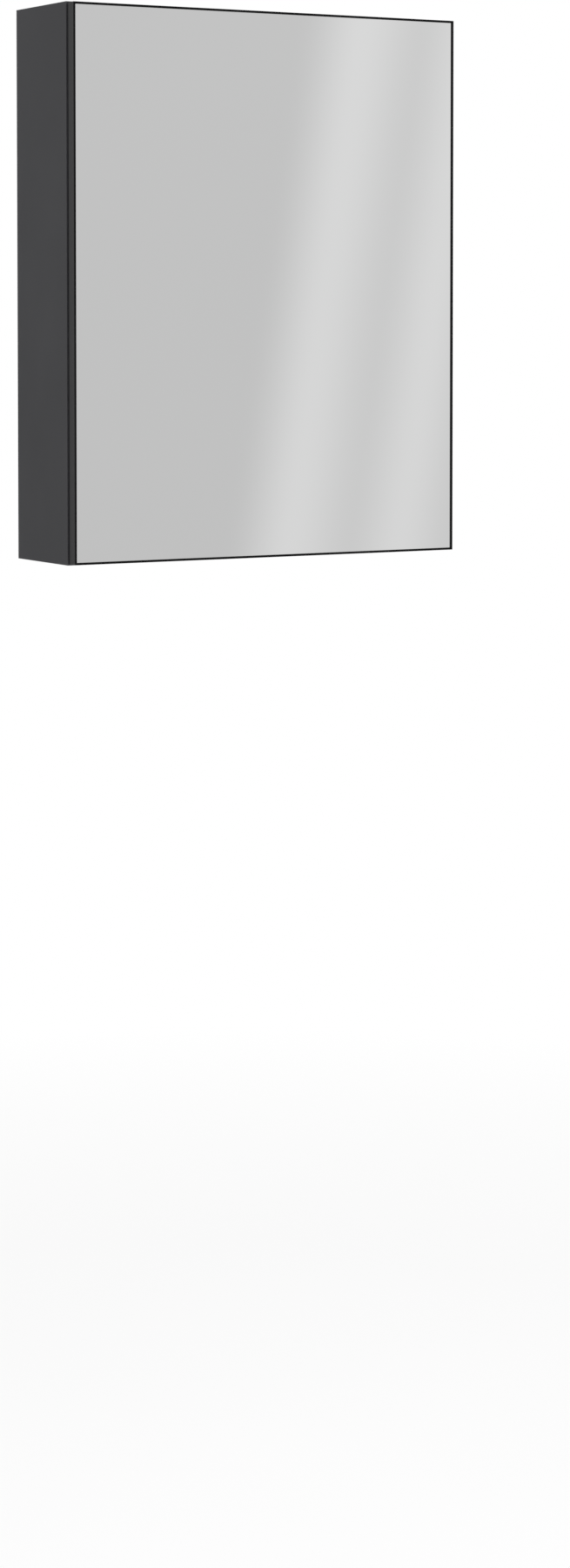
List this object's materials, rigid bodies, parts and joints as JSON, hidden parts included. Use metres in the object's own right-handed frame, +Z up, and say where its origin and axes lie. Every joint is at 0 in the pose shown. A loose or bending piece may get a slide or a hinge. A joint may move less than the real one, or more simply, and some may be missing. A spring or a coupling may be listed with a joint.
{
  "type": "medicine cabinet",
  "caption": "Wall-hung medicine cabinet with a full-height mirror door in a thin black frame, an anthracite carcass, glass shelves on pins and concealed hinges.",
  "frame": {"origin": "middle of the wall rail's flat rear face, on the wall plane", "axes": "+X to the right as seen from the front, +Y into the wall, +Z up"},
  "size_m": [0.6, 0.172, 0.75],
  "materials": {
    "anthracite_board": "matt anthracite melamine-faced board",
    "black_aluminium": "black powder-coated aluminium profile",
    "mirror": "silvered float glass",
    "shelf_glass": "clear float glass with polished edges",
    "zinc_steel": "nickel-plated and zinc-plated steel",
    "grey_plastic": "moulded grey plastic",
    "clear_rubber": "clear soft rubber"
  },
  "bodies": {
    "carcass": {"side_panel_left": "anthracite_board", "side_panel_right": "anthracite_board", "bottom_panel": "anthracite_board", "top_panel": "anthracite_board", "back_panel": "anthracite_board", "wall_rail": "zinc_steel", "hanger_housing_left": "grey_plastic", "hanger_hook_left": "zinc_steel", "height_screw_left": "zinc_steel", "depth_screw_left": "zinc_steel", "hanger_cover_left": "grey_plastic", "hanger_housing_right": "grey_plastic", "hanger_hook_right": "zinc_steel", "height_screw_right": "zinc_steel", "depth_screw_right": "zinc_steel", "hanger_cover_right": "grey_plastic", "shelf_lower": "shelf_glass", "shelf_pin_lower_left_front": "zinc_steel", "shelf_pin_lower_left_rear": "zinc_steel", "shelf_pin_lower_right_front": "zinc_steel", "shelf_pin_lower_right_rear": "zinc_steel", "shelf_middle": "shelf_glass", "shelf_pin_middle_left_front": "zinc_steel", "shelf_pin_middle_left_rear": "zinc_steel", "shelf_pin_middle_right_front": "zinc_steel", "shelf_pin_middle_right_rear": "zinc_steel", "shelf_upper": "shelf_glass", "shelf_pin_upper_left_front": "zinc_steel", "shelf_pin_upper_left_rear": "zinc_steel", "shelf_pin_upper_right_front": "zinc_steel", "shelf_pin_upper_right_rear": "zinc_steel", "hinge_plate_lower": "zinc_steel", "hinge_arm_lower": "zinc_steel", "hinge_fixing_screw_lower": "zinc_steel", "hinge_side_adjust_screw_lower": "zinc_steel", "plate_screw_lower_bottom": "zinc_steel", "plate_screw_lower_top": "zinc_steel", "hinge_plate_upper": "zinc_steel", "hinge_arm_upper": "zinc_steel", "hinge_fixing_screw_upper": "zinc_steel", "hinge_side_adjust_screw_upper": "zinc_steel", "plate_screw_upper_bottom": "zinc_steel", "plate_screw_upper_top": "zinc_steel"},
    "hinge_links": {"hinge_link_lower": "zinc_steel", "hinge_link_upper": "zinc_steel"},
    "door": {"door_frame_left": "black_aluminium", "door_frame_right": "black_aluminium", "door_frame_top": "black_aluminium", "door_frame_bottom": "black_aluminium", "mirror_glass": "mirror", "door_board": "anthracite_board", "bumper_lower": "clear_rubber", "bumper_upper": "clear_rubber", "hinge_cup_lower": "zinc_steel", "cup_screw_lower_bottom": "zinc_steel", "cup_screw_lower_top": "zinc_steel", "hinge_cup_upper": "zinc_steel", "cup_screw_upper_bottom": "zinc_steel", "cup_screw_upper_top": "zinc_steel"}
  },
  "joints": [
    {"name": "hinge_link_swing", "type": "hinge", "parent": "carcass", "child": "hinge_links", "pos_m": [0.27125, -0.1478, -0.325], "axis": [0, 0, 1], "range_deg": [-32, 0]},
    {"name": "door_swing", "type": "hinge", "parent": "hinge_links", "child": "door", "pos_m": [0.2882, -0.1602, -0.325], "axis": [0, 0, 1], "range_deg": [0, 128]}
  ],
  "couplings": [
    {"joint": "hinge_link_swing", "follows": "door_swing", "ratio": -0.25}
  ]
}
